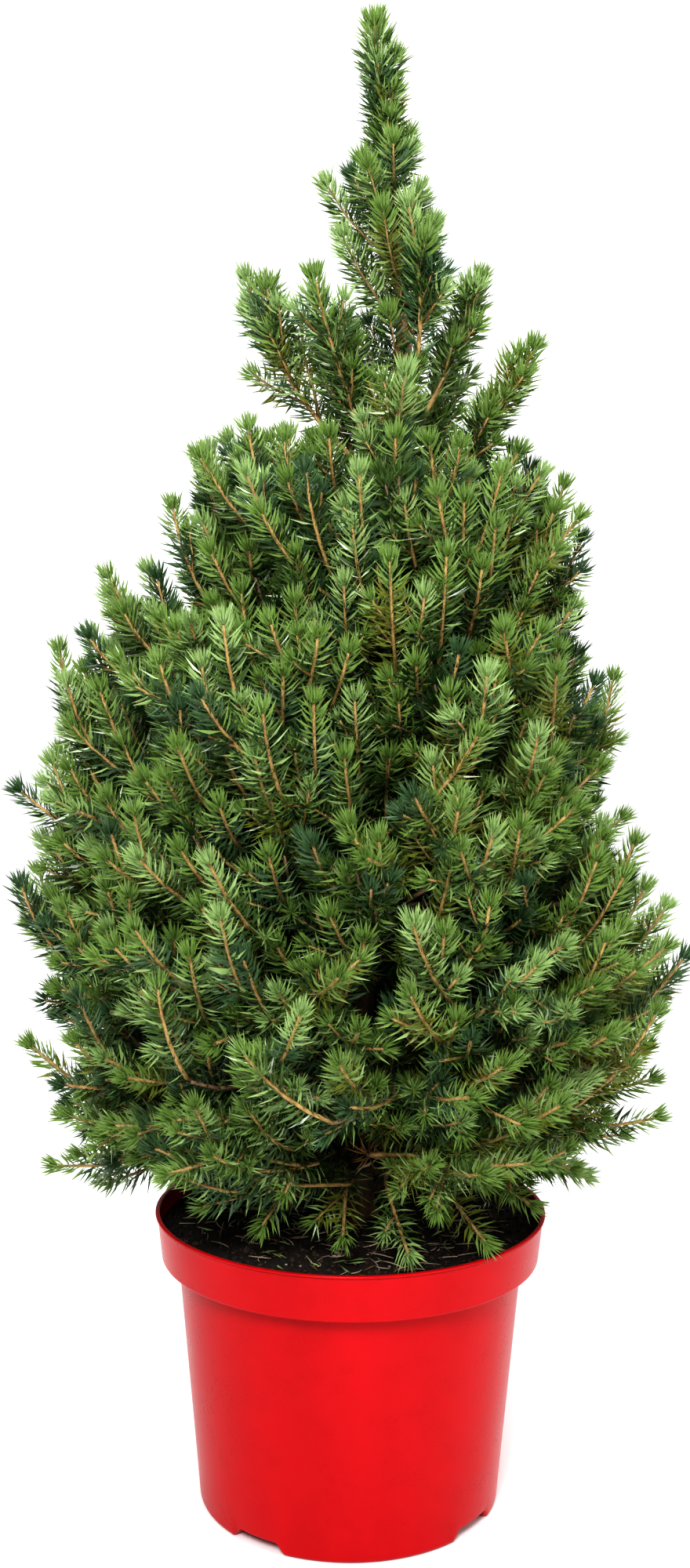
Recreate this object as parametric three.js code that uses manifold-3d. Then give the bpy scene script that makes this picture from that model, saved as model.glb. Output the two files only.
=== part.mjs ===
import * as THREE from 'three';
import { mergeVertices } from 'three/addons/utils/BufferGeometryUtils.js';
import Module from 'manifold-3d';

// A dwarf Alberta spruce in a red nursery pot. Millimetres, +Z up, +X to the right, front towards -Y.
// The origin is the middle of the pot's underside, which stands on the ground.

// Pot: a thin moulded wall with a band under its lip and four notches in its bottom edge.
const LIP_RADIUS = 105;
const POT_HEIGHT = 1.5 * LIP_RADIUS;
const WALL = 1.8;
const LIP_OVERHANG = 1.0;
const LIP_THICKNESS = 1.6;
const BAND_HEIGHT = 24.5;
const BAND_TAPER = 2.4;
const BAND_STEP = 8.8;
const BASE_RADIUS = 80.5;
const BASE_ROUNDING = 3;
const FLOOR_RADIUS = 54;
const FLOOR_THICKNESS = 2.5;
const FLOOR_SLOPE = 4;
const NOTCH_COUNT = 4;
const NOTCH_AZIMUTH = -36;
const NOTCH_HEIGHT = 5.5;
const NOTCH_WIDTH = 31;
const NOTCH_SIDE_SLOPE = 3.5;
const POT_SEGMENTS = 26;

// Soil: fills the pot to just below its lip and rises a little towards the trunk.
const GAP = 0.35;
const SOIL_EDGE_DEPTH = 8.6;
const SOIL_RISE = 2.8;
const SOIL_UNEVENNESS = 0.6;
const SOIL_SHRINKAGE = 0.9;
const ROOT_COLLAR_RADIUS = 26;

// Trunk: from a flat cut on the soil to the leader, leaning right and then back to the left.
const TRUNK_FOOT = POT_HEIGHT - SOIL_EDGE_DEPTH + SOIL_RISE + GAP;
const TRUNK_TOP = 772;
const TRUNK_RADIUS = 9.5;
const TRUNK_TIP_RADIUS = 0.9;
const ROOT_FLARE = 5.5;
const ROOT_FLARE_HEIGHT = 14;
const FOOT_CROWDING = 1.7;
const TRUNK_LEAN = [
  [0.0, 0, 0],
  [0.25, 5, 1],
  [0.5, 14, -2],
  [0.66, 22, -3],
  [0.79, 24, -1],
  [0.9, 15, 0],
  [1.0, 8, 0],
];

// Crown: how far it reaches to the left and to the right at each height above the ground.
const CROWN_REACH = [
  { height: 165, left: 142, right: 126 },
  { height: 190, left: 158, right: 146 },
  { height: 255, left: 170, right: 167 },
  { height: 320, left: 179, right: 178 },
  { height: 350, left: 185, right: 160 },
  { height: 390, left: 178, right: 148 },
  { height: 440, left: 164, right: 140 },
  { height: 490, left: 128, right: 130 },
  { height: 565, left: 84, right: 106 },
];
const HOLLOW_SHARE = 0.34;
const FOLIAGE_FLOOR = POT_HEIGHT + 4;
const UNDERSIDE_LIFT = 26;
const FOLIAGE_GAP = 1.2;
const UNEVENNESS = 0.16;
const MASS_FULLNESS = 0.94;
const TIP_STAGGER = 9;
const SHOOT_LIFT = 0.26;
const SHOOT_SLIMNESS = 0.9;
const SHOOTS_PER_MASS = 6;

// Rings of masses from the bottom up. Each mass ends in a tip on the crown's outline and its long
// axis rises outwards by the angle given. The boughs are those masses that a main bough carries.
const TIERS = [
  { name: 'skirt', tip: 200, count: 6, turn: 0, rise: 4, length: 116, width: 112, boughs: [] },
  { name: 'low', tip: 300, count: 7, turn: 0, rise: 24, length: 132, width: 118, boughs: [3] },
  { name: 'middle', tip: 374, count: 7, turn: -25.7, rise: 38, length: 140, width: 118, boughs: [1, 4] },
  { name: 'upper', tip: 466, count: 6, turn: 6, rise: 52, length: 148, width: 112, boughs: [2, 5] },
  { name: 'shoulder', tip: 566, count: 6, turn: -8, rise: 62, length: 140, width: 92, boughs: [0, 2, 4] },
];

// Single upright shoots of the spire: the point each one reaches, its rise, length and width, and
// the height at which its bough leaves the trunk, where it has one.
const SPIRE = [
  { name: 'second_leader', tip: [38, -18, 690], rise: 84, length: 112, width: 40, fork: 574 },
  { name: 'left_tall', tip: [-56, 2, 652], rise: 66, length: 104, width: 46, fork: 540 },
  { name: 'left_inner', tip: [-22, -26, 648], rise: 66, length: 104, width: 44 },
  { name: 'right_tall', tip: [67, 10, 660], rise: 68, length: 98, width: 42, fork: 548 },
  { name: 'right_outer', tip: [86, -10, 616], rise: 62, length: 88, width: 44, fork: 530 },
  { name: 'front', tip: [14, -50, 600], rise: 78, length: 100, width: 50 },
  { name: 'back_left', tip: [-16, 46, 640], rise: 72, length: 110, width: 54, fork: 534 },
  { name: 'back_right', tip: [50, 46, 626], rise: 70, length: 106, width: 54, fork: 526 },
];

// Tufts that close round the leader, so the trunk runs through them.
const LEADER_TUFTS = [
  { name: 'leader_collar', tip: [8, 0, 716], rise: 86, length: 116, width: 66 },
  { name: 'leader_tip', tip: [7, 0, 781], rise: 92, length: 92, width: 33 },
];

const BOUGH_RADIUS = 3.4;
const BOUGH_TIP_RADIUS = 1.5;
const BOUGH_DROP = 34;
const BOUGH_ELBOW = 18;
const BOUGH_CLEARANCE = 2.5;

const degrees = THREE.MathUtils.degToRad;
const wasm = await Module();
wasm.setup();

// Repeatable uneven value from -1 to 1 for a mass and a direction on it.
function unevenValue(seed, x, y, z) {
  const wave = Math.sin(x * 3.1 + seed * 1.7) + Math.sin(y * 3.7 + seed * 2.3) + Math.sin(z * 2.9 + seed);
  return wave / 3;
}

function solidFrom(geometry) {
  const bare = geometry.clone();
  bare.deleteAttribute('normal');
  bare.deleteAttribute('uv');
  const merged = mergeVertices(bare, 1e-3);
  const mesh = new wasm.Mesh({
    numProp: 3,
    vertProperties: new Float32Array(merged.attributes.position.array),
    triVerts: new Uint32Array(merged.index.array),
  });
  return new wasm.Manifold(mesh);
}

function geometryFrom(solid) {
  const mesh = solid.getMesh();
  const geometry = new THREE.BufferGeometry();
  geometry.setAttribute('position', new THREE.BufferAttribute(mesh.vertProperties, 3));
  geometry.setIndex(new THREE.BufferAttribute(mesh.triVerts, 1));
  geometry.computeVertexNormals();
  return geometry;
}

function turned(points) {
  const profile = points.map(([radius, height]) => new THREE.Vector2(radius, height));
  const geometry = new THREE.LatheGeometry(profile, POT_SEGMENTS);
  geometry.rotateX(Math.PI / 2);
  return geometry;
}

// ---- pot ----
const bandBottom = POT_HEIGHT - BAND_HEIGHT;
const bandTopRadius = LIP_RADIUS - LIP_OVERHANG;
const bandBottomRadius = bandTopRadius - BAND_TAPER;
const bodyTopRadius = bandBottomRadius - BAND_STEP;
const lipUnderside = POT_HEIGHT - LIP_THICKNESS;
const stepTop = bandBottom + WALL;
const innerFloor = NOTCH_HEIGHT + FLOOR_THICKNESS;
const innerBase = BASE_RADIUS - WALL + 0.6;

function roundedBase() {
  const arc = [];
  const steps = 2;
  for (let i = 0; i <= steps; i += 1) {
    const angle = (Math.PI / 2) * (i / steps);
    const radius = BASE_RADIUS - BASE_ROUNDING + BASE_ROUNDING * Math.sin(angle);
    arc.push([radius, BASE_ROUNDING * (1 - Math.cos(angle))]);
  }
  return arc;
}

function potShell() {
  return turned([
    [0, 0],
    ...roundedBase(),
    [bodyTopRadius, bandBottom],
    [bandBottomRadius, bandBottom],
    [bandTopRadius, lipUnderside],
    [LIP_RADIUS, lipUnderside],
    [LIP_RADIUS, POT_HEIGHT],
    [bandTopRadius - WALL, POT_HEIGHT],
    [bandBottomRadius - WALL, stepTop],
    [bodyTopRadius - WALL, stepTop],
    [innerBase, innerFloor + 2],
    [innerBase - 2, innerFloor],
    [FLOOR_RADIUS + FLOOR_SLOPE, innerFloor],
    [FLOOR_RADIUS, FLOOR_THICKNESS],
    [0, FLOOR_THICKNESS],
  ]);
}

// A channel with sloping sides, cut outwards through the bottom edge.
function notchCutter(azimuth) {
  const half = NOTCH_WIDTH / 2;
  const below = -NOTCH_HEIGHT;
  const outline = new THREE.Shape();
  outline.moveTo(-half, below);
  outline.lineTo(half, below);
  outline.lineTo(half, 0);
  outline.lineTo(half - NOTCH_SIDE_SLOPE, NOTCH_HEIGHT);
  outline.lineTo(-half + NOTCH_SIDE_SLOPE, NOTCH_HEIGHT);
  outline.lineTo(-half, 0);
  outline.closePath();
  const length = BASE_RADIUS - FLOOR_RADIUS;
  const cutter = new THREE.ExtrudeGeometry(outline, { depth: length, bevelEnabled: false });
  cutter.translate(0, 0, FLOOR_RADIUS + FLOOR_SLOPE);
  cutter.rotateX(Math.PI / 2);
  cutter.rotateZ(degrees(azimuth + 90));
  return cutter;
}

function makePot() {
  let pot = solidFrom(potShell());
  for (let i = 0; i < NOTCH_COUNT; i += 1) {
    const azimuth = NOTCH_AZIMUTH + (i * 360) / NOTCH_COUNT - 90;
    pot = pot.subtract(solidFrom(notchCutter(azimuth)));
  }
  return geometryFrom(pot);
}

// ---- soil ----
const soilEdge = POT_HEIGHT - SOIL_EDGE_DEPTH;
const soilTopRadius = bandTopRadius - WALL - GAP - SOIL_SHRINKAGE;

function makeSoil() {
  const soil = turned([
    [0, FLOOR_THICKNESS + GAP],
    [FLOOR_RADIUS - GAP, FLOOR_THICKNESS + GAP],
    [FLOOR_RADIUS + FLOOR_SLOPE - GAP, innerFloor + GAP],
    [innerBase - 2 - GAP, innerFloor + GAP],
    [bodyTopRadius - WALL - GAP, stepTop + GAP],
    [bandBottomRadius - WALL - GAP, stepTop + GAP],
    [soilTopRadius, soilEdge],
    [0.65 * soilTopRadius, soilEdge + 0.4 * SOIL_RISE],
    [ROOT_COLLAR_RADIUS, soilEdge + SOIL_RISE],
    [0, soilEdge + SOIL_RISE],
  ]);
  const positions = soil.attributes.position;
  for (let i = 0; i < positions.count; i += 1) {
    const x = positions.getX(i);
    const y = positions.getY(i);
    const radius = Math.hypot(x, y);
    const loose = radius > ROOT_COLLAR_RADIUS + 1 && positions.getZ(i) > soilEdge - 1;
    if (loose) {
      const lift = SOIL_UNEVENNESS * (unevenValue(4, x / 30, y / 30, 0) - 0.4);
      positions.setZ(i, positions.getZ(i) + lift);
    }
  }
  return soil;
}

// ---- limbs ----

// A tapering closed limb along a curve: a capped cylinder whose rings are moved onto the curve.
// Level rings keep the trunk's foot flat on the soil, and they crowd towards its flared foot.
function taperedLimb(curve, radiusAt, sides, rings, level) {
  const limb = new THREE.CylinderGeometry(1, 1, 1, sides, rings);
  const positions = limb.attributes.position;
  const across = new THREE.Vector3();
  const along = new THREE.Vector3();
  const up = new THREE.Vector3();
  for (let i = 0; i < positions.count; i += 1) {
    const share = Math.pow(THREE.MathUtils.clamp(positions.getY(i) + 0.5, 0, 1), level ? FOOT_CROWDING : 1);
    const x = positions.getX(i);
    const z = positions.getZ(i);
    const centre = curve.getPoint(share);
    along.copy(level ? new THREE.Vector3(0, 0, 1) : curve.getTangent(share));
    across.set(-along.y, along.x, 0);
    if (level) across.set(1, 0, 0);
    across.normalize();
    up.crossVectors(along, across);
    const radius = radiusAt(share, Math.atan2(z, x));
    centre.addScaledVector(across, x * radius);
    centre.addScaledVector(up, -z * radius);
    positions.setXYZ(i, centre.x, centre.y, centre.z);
  }
  return limb;
}

function trunkPoint([share, x, y]) {
  return new THREE.Vector3(x, y, THREE.MathUtils.lerp(TRUNK_FOOT, TRUNK_TOP, share));
}

const trunkCurve = new THREE.CatmullRomCurve3(TRUNK_LEAN.map(trunkPoint));

function trunkShareAt(height) {
  let low = 0;
  let high = 1;
  for (let i = 0; i < 24; i += 1) {
    const middle = (low + high) / 2;
    if (trunkCurve.getPoint(middle).z < height) low = middle;
    else high = middle;
  }
  return (low + high) / 2;
}

function trunkRadius(share, angle) {
  const height = trunkCurve.getPoint(share).z - TRUNK_FOOT;
  const straight = THREE.MathUtils.lerp(TRUNK_RADIUS, TRUNK_TIP_RADIUS, Math.pow(share, 0.85));
  const flare = ROOT_FLARE * Math.exp(-height / ROOT_FLARE_HEIGHT);
  return straight + flare * (1 + 0.35 * Math.cos(5 * angle));
}

function makeTrunk(extra) {
  return taperedLimb(trunkCurve, (share, angle) => trunkRadius(share, angle) + extra, 10, 12, true);
}

// ---- masses of foliage ----

function crownReach(height, azimuth) {
  const last = CROWN_REACH.length - 1;
  let row = 0;
  while (row < last - 1 && CROWN_REACH[row + 1].height < height) row += 1;
  const below = CROWN_REACH[row];
  const above = CROWN_REACH[row + 1];
  const share = THREE.MathUtils.clamp((height - below.height) / (above.height - below.height), 0, 1);
  const left = THREE.MathUtils.lerp(below.left, above.left, share);
  const right = THREE.MathUtils.lerp(below.right, above.right, share);
  return THREE.MathUtils.lerp(left, right, (1 + Math.cos(azimuth)) / 2);
}

function radialVector(azimuth) {
  return new THREE.Vector3(Math.cos(azimuth), Math.sin(azimuth), 0);
}

function risingAxis(azimuth, rise) {
  const axis = radialVector(azimuth).multiplyScalar(Math.cos(degrees(rise)));
  axis.z = Math.sin(degrees(rise));
  return axis;
}

function massFrom(name, tip, axis, length, width, seed) {
  const centre = tip.clone().addScaledVector(axis, -length / 2);
  return { name, tip, axis, centre, halfLength: length / 2, halfWidth: width / 2, seed };
}

function tierMasses() {
  const masses = [];
  for (const tier of TIERS) {
    for (let i = 0; i < tier.count; i += 1) {
      const seed = masses.length + 1;
      const azimuth = degrees(tier.turn + (360 * i) / tier.count);
      const height = tier.tip + TIP_STAGGER * Math.sin(seed * 2.4) * (i % 2 ? 1 : -1);
      const tip = radialVector(azimuth).multiplyScalar(crownReach(height, azimuth));
      tip.z = height;
      const axis = risingAxis(azimuth, tier.rise);
      const mass = massFrom(`foliage_${tier.name}_${i + 1}`, tip, axis, tier.length, tier.width, seed);
      mass.hollow = HOLLOW_SHARE * crownReach(mass.centre.z, azimuth);
      mass.boughName = tier.boughs.includes(i) ? `bough_${tier.name}_${i + 1}` : null;
      masses.push(mass);
    }
  }
  return masses;
}

function singleMasses(rows, firstSeed) {
  return rows.map((row, i) => {
    const tip = new THREE.Vector3(...row.tip);
    const trunk = trunkCurve.getPoint(trunkShareAt(row.tip[2] - row.length / 2));
    const azimuth = Math.atan2(tip.y - trunk.y, tip.x - trunk.x);
    const axis = risingAxis(azimuth, row.rise);
    const mass = massFrom(`foliage_${row.name}`, tip, axis, row.length, row.width, firstSeed + i);
    mass.boughName = row.fork ? `bough_${row.name}` : null;
    mass.fork = row.fork;
    return mass;
  });
}

// Distance from a mass's centre to its smooth surface in a direction.
function smoothReach(mass, direction) {
  const along = direction.dot(mass.axis);
  const across = Math.sqrt(Math.max(0, 1 - along * along));
  return 1 / Math.hypot(along / mass.halfLength, across / mass.halfWidth);
}

// The crown's underside is lower on the left and the right than at the front and the back.
function undersideAt(point) {
  return FOLIAGE_FLOOR + UNDERSIDE_LIFT * Math.sin(Math.atan2(point.y, point.x)) ** 2;
}

// Flat limits that keep a mass clear of its neighbours, of the hollow round the trunk and of the pot.
function limitsFor(mass, masses, wrapsTrunk) {
  const limits = [];
  for (const other of masses) {
    if (other === mass) continue;
    const towards = other.centre.clone().sub(mass.centre);
    const distance = towards.length();
    towards.normalize();
    const mine = smoothReach(mass, towards);
    const theirs = smoothReach(other, towards);
    const share = distance * (mine / (mine + theirs)) - FOLIAGE_GAP / 2;
    limits.push({ normal: towards, distance: share });
  }
  if (!wrapsTrunk) {
    const share = trunkShareAt(mass.centre.z);
    const inwards = trunkCurve.getPoint(share).sub(mass.centre).setZ(0);
    const distance = inwards.length();
    const keepOff = mass.hollow || trunkRadius(share, 0) + 3;
    limits.push({ normal: inwards.normalize(), distance: distance - keepOff });
  }
  const down = new THREE.Vector3(0, 0, -1);
  limits.push({ normal: down, distance: mass.centre.z - undersideAt(mass.centre) });
  return limits;
}

function leavesOutline(centre, direction, reach) {
  const point = centre.clone().addScaledVector(direction, reach);
  return Math.hypot(point.x, point.y) > crownReach(point.z, Math.atan2(point.y, point.x)) + 0.5;
}

// One closed uneven lump with a few raised shoots, and its tip reaching exactly to the outline.
function makeMass(mass, masses, wrapsTrunk) {
  const limits = limitsFor(mass, masses, wrapsTrunk);
  const lump = mergeVertices(bareIcosahedron(), 1e-4);
  const positions = lump.attributes.position;
  const direction = new THREE.Vector3();
  const shoots = shootDirections(mass);
  let tipVertex = 0;
  let tipMatch = -1;
  for (let i = 0; i < positions.count; i += 1) {
    direction.fromBufferAttribute(positions, i).normalize();
    if (direction.dot(mass.axis) > tipMatch) {
      tipMatch = direction.dot(mass.axis);
      tipVertex = i;
    }
  }
  for (let i = 0; i < positions.count; i += 1) {
    direction.fromBufferAttribute(positions, i).normalize();
    if (i === tipVertex) direction.copy(mass.axis);
    const lumps = UNEVENNESS * unevenValue(mass.seed, direction.x, direction.y, direction.z);
    const nearest = Math.max(...shoots.map((shoot) => shoot.dot(direction)));
    const lift = SHOOT_LIFT * Math.max(0, (nearest - SHOOT_SLIMNESS) / (1 - SHOOT_SLIMNESS));
    let reach = smoothReach(mass, direction) * (MASS_FULLNESS + lumps + lift);
    if (i === tipVertex) reach = mass.halfLength;
    for (const limit of limits) {
      const facing = direction.dot(limit.normal);
      if (facing > 1e-6) reach = Math.min(reach, Math.max(limit.distance, 1) / facing);
    }
    while (mass.hollow && leavesOutline(mass.centre, direction, reach)) reach *= 0.97;
    positions.setXYZ(
      i,
      mass.centre.x + direction.x * reach,
      mass.centre.y + direction.y * reach,
      mass.centre.z + direction.z * reach,
    );
  }
  return lump;
}

function bareIcosahedron() {
  const geometry = new THREE.IcosahedronGeometry(1, 2);
  geometry.deleteAttribute('normal');
  geometry.deleteAttribute('uv');
  return geometry;
}

// Directions of the shoots that stand out of a mass, spread round its outward and upper side.
function shootDirections(mass) {
  const side = new THREE.Vector3(-mass.axis.y, mass.axis.x, 0).normalize();
  const top = new THREE.Vector3().crossVectors(mass.axis, side);
  const shoots = [];
  for (let i = 0; i < SHOOTS_PER_MASS; i += 1) {
    const turn = mass.seed * 1.9 + (2 * Math.PI * i) / SHOOTS_PER_MASS;
    const spread = 0.75 + 0.45 * Math.sin(mass.seed + i * 2.1);
    const shoot = mass.axis.clone();
    shoot.addScaledVector(side, spread * Math.cos(turn));
    shoot.addScaledVector(top, spread * Math.sin(turn));
    shoots.push(shoot.normalize());
  }
  return shoots;
}

// ---- boughs ----

// Distance from a point along a direction to the first face of a geometry.
function distanceToFace(origin, direction, geometry) {
  const ray = new THREE.Ray(origin, direction);
  const corners = [new THREE.Vector3(), new THREE.Vector3(), new THREE.Vector3()];
  const hit = new THREE.Vector3();
  let nearest = Infinity;
  const { index, attributes } = geometry;
  for (let i = 0; i < index.count; i += 3) {
    corners.forEach((corner, k) => corner.fromBufferAttribute(attributes.position, index.getX(i + k)));
    if (ray.intersectTriangle(...corners, false, hit)) nearest = Math.min(nearest, hit.distanceTo(origin));
  }
  return nearest;
}

// A bough leaves the trunk level, bends upwards and ends just before it enters its mass.
function boughCurve(mass, massGeometry) {
  const forkHeight = mass.fork || mass.centre.z - BOUGH_DROP;
  const share = trunkShareAt(forkHeight);
  const fork = trunkCurve.getPoint(share);
  const outwards = mass.centre.clone().sub(fork).setZ(0).normalize();
  const start = fork.clone().addScaledVector(outwards, trunkRadius(share, 0) + 3 * GAP);
  const reach = mass.centre.clone().sub(start).setZ(0).length();
  const elbow = start.clone().addScaledVector(outwards, Math.min(0.4 * reach, BOUGH_ELBOW));
  const direction = mass.centre.clone().sub(elbow).normalize();
  const room = distanceToFace(elbow, direction, massGeometry) - BOUGH_CLEARANCE;
  const end = elbow.clone().addScaledVector(direction, room);
  return new THREE.QuadraticBezierCurve3(start, elbow, end);
}

function makeBough(curve, extra) {
  const radiusAt = (along) => THREE.MathUtils.lerp(BOUGH_RADIUS, BOUGH_TIP_RADIUS, along) + extra;
  return taperedLimb(curve, radiusAt, 5, 3, false);
}

// A mass with room cut in it for every limb that passes through it.
function cutRoundLimbs(massGeometry, rooms) {
  const solid = solidFrom(massGeometry);
  const crossing = rooms.filter((room) => !solid.intersect(room).isEmpty());
  if (crossing.length === 0) return massGeometry;
  return geometryFrom(crossing.reduce((cut, room) => cut.subtract(room), solid));
}

// ---- materials and assembly ----
const potPlastic = { color: 0xd8141c, roughness: 0.25, metalness: 0 };
const peat = { color: 0x1d1612, roughness: 0.95, metalness: 0 };
const bark = { color: 0x8a6238, roughness: 0.85, metalness: 0 };
const foliageGreens = [0x2f6b34, 0x3b7a3c, 0x27602f, 0x467f3a];

const spruce = new THREE.Group();

function addPart(name, geometry, look) {
  const part = new THREE.Mesh(geometry, new THREE.MeshStandardMaterial(look));
  part.name = name;
  spruce.add(part);
}

addPart('pot', makePot(), potPlastic);
addPart('soil', makeSoil(), peat);
addPart('trunk', makeTrunk(0), bark);

const ringed = tierMasses();
const single = singleMasses(SPIRE, ringed.length + 1);
const tufts = singleMasses(LEADER_TUFTS, ringed.length + single.length + 1);
const everyMass = [...ringed, ...single, ...tufts];
const massGeometries = everyMass.map((mass) => makeMass(mass, everyMass, tufts.includes(mass)));
const boughs = everyMass.map((mass, i) => (mass.boughName ? boughCurve(mass, massGeometries[i]) : null));
const trunkRoom = solidFrom(makeTrunk(2 * GAP));
const boughRooms = boughs.map((curve) => (curve ? solidFrom(makeBough(curve, 2 * GAP)) : null));

everyMass.forEach((mass, i) => {
  const otherRooms = boughRooms.filter((room, k) => room && k !== i);
  const geometry = cutRoundLimbs(massGeometries[i], [trunkRoom, ...otherRooms]);
  const look = { color: foliageGreens[mass.seed % foliageGreens.length], roughness: 0.8, metalness: 0 };
  addPart(mass.name, geometry, look);
  if (boughs[i]) addPart(mass.boughName, makeBough(boughs[i], 0), bark);
});

export default spruce;
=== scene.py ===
import math

import bmesh
import bpy
import numpy as np
from mathutils import Matrix, Vector, noise
from mathutils.bvhtree import BVHTree


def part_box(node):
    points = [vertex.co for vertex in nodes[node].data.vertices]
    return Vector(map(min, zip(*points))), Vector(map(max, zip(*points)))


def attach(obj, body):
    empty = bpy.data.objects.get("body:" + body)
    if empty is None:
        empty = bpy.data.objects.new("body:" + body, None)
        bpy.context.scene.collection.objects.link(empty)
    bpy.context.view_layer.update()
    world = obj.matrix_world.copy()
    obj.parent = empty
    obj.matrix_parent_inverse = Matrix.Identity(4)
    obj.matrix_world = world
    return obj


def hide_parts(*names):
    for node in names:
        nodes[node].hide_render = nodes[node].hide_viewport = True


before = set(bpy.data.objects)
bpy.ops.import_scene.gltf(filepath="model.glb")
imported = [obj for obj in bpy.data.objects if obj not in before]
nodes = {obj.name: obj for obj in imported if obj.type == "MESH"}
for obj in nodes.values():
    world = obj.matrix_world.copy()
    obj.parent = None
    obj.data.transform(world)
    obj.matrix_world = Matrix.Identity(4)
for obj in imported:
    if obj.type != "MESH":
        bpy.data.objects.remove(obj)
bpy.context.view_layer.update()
mm = 0.001
rng = np.random.default_rng(41)
goldenAngle = math.pi * (3 - math.sqrt(5))
up = np.array([0.0, 0.0, 1.0])


# the nodes of a material or of the world
class Nodes:
    def __init__(self, tree):
        self.tree = tree

    def add(self, kind, settings=None, out=0, **sockets):
        node = self.tree.nodes.new(kind)
        for key, value in (settings or {}).items():
            setattr(node, key, value)
        for key, value in sockets.items():
            name = key.replace("_", " ")
            target = node.inputs[int(name[1:])] if name[1:].isdigit() else node.inputs[name]
            self.feed(target, value)
        return Wire(self, node.outputs[out])

    def feed(self, target, value):
        if isinstance(value, Wire):
            self.tree.links.new(value.socket, target)
        else:
            target.default_value = value


# a material under construction: one Principled shader and the nodes that feed it
class Finish(Nodes):
    def __init__(self, name, **constants):
        self.material = bpy.data.materials.new(name)
        self.material.use_nodes = True
        super().__init__(self.material.node_tree)
        self.shader = self.tree.nodes["Principled BSDF"]
        self.drive(**constants)

    def drive(self, **sockets):
        for key, value in sockets.items():
            self.feed(self.shader.inputs[key.replace("_", " ")], value)

    def place(self):
        return self.add("ShaderNodeTexCoord", out=3)

    def cloud(self, scale, detail=4.0, roughness=0.5, stretch=(1, 1, 1)):
        spot = self.add("ShaderNodeMapping", Vector=self.place(), Scale=stretch)
        return self.add("ShaderNodeTexNoise", Vector=spot, Scale=scale, Detail=detail, Roughness=roughness)

    def blend(self, share, first, second):
        return self.add("ShaderNodeMix", {"data_type": "RGBA"}, out=2, i0=share, i6=first, i7=second)

    def relief(self, height, distance, strength=1.0):
        self.drive(Normal=self.add("ShaderNodeBump", Height=height, Distance=distance, Strength=strength))


# a number on its way through the nodes
class Wire:
    def __init__(self, finish, socket):
        self.finish, self.socket = finish, socket

    def sum(self, operation, first, second):
        return self.finish.add("ShaderNodeMath", {"operation": operation}, i0=first, i1=second)

    def __add__(self, other):
        return self.sum("ADD", self, other)

    def __sub__(self, other):
        return self.sum("SUBTRACT", self, other)

    def __rsub__(self, other):
        return self.sum("SUBTRACT", other, self)

    def __mul__(self, other):
        return self.sum("MULTIPLY", self, other)

    def between(self, low, high):
        sockets = {"Value": self, "From_Min": low, "From_Max": high}
        return self.finish.add("ShaderNodeMapRange", {"clamp": True}, **sockets)

    __radd__, __rmul__ = __add__, __mul__


def newPiece(name, mesh, finish, replaced=()):
    piece = bpy.data.objects.new(name, mesh)
    bpy.context.scene.collection.objects.link(piece)
    mesh.materials.append(finish.material)
    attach(piece, "root")
    if replaced:
        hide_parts(*replaced)


def meshFromBmesh(name, shape, sharpAngle=35):
    mesh = bpy.data.meshes.new(name)
    shape.to_mesh(mesh)
    shape.free()
    mesh.shade_smooth()
    mesh.set_sharp_from_angle(angle=math.radians(sharpAngle))
    return mesh


def meshFromArrays(name, points, corners, smooth=True):
    mesh = bpy.data.meshes.new(name)
    faceCount, cornerCount = corners.shape
    mesh.vertices.add(len(points))
    mesh.vertices.foreach_set("co", points.astype(np.float32).ravel())
    mesh.loops.add(corners.size)
    mesh.loops.foreach_set("vertex_index", corners.astype(np.int32).ravel())
    mesh.polygons.add(faceCount)
    mesh.polygons.foreach_set("loop_start", np.arange(0, corners.size, cornerCount, dtype=np.int32))
    mesh.polygons.foreach_set("use_smooth", np.full(faceCount, smooth))
    mesh.update(calc_edges=True)
    mesh.validate()
    return mesh


def unit(v):
    return v / np.maximum(np.linalg.norm(v, axis=-1, keepdims=True), 1e-9)


def nodePoints(name):
    mesh = nodes[name].data
    points = np.empty(len(mesh.vertices) * 3, dtype=np.float32)
    mesh.vertices.foreach_get("co", points)
    return points.reshape(-1, 3).astype(float)


# ---------- camera, light and floor
studio = {
    "lens": 40.27,
    "sensor": 36.0,
    "cameraAt": (-0.0043, -0.9188, 0.4693),
    "pitch": 5.25,
    "roll": 0.37,
    "lamps": {  # place, width and power
        "key": ((-0.2, -1.4, 1.28), 0.6, 24.5),
        "fill": ((1.2, -0.9, 0.75), 0.9, 4.0),
        "rim": ((0.5, 1.2, 1.3), 0.7, 4.0),
    },
    "lampAim": (0, 0, 0.35),
    "frontGlow": 0.05,
    "sideGlow": 0.28,
    "topGlow": 1.35,
    "floorColour": (0.85, 0.85, 0.85, 1),
    "floorSize": 12,
}


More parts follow.
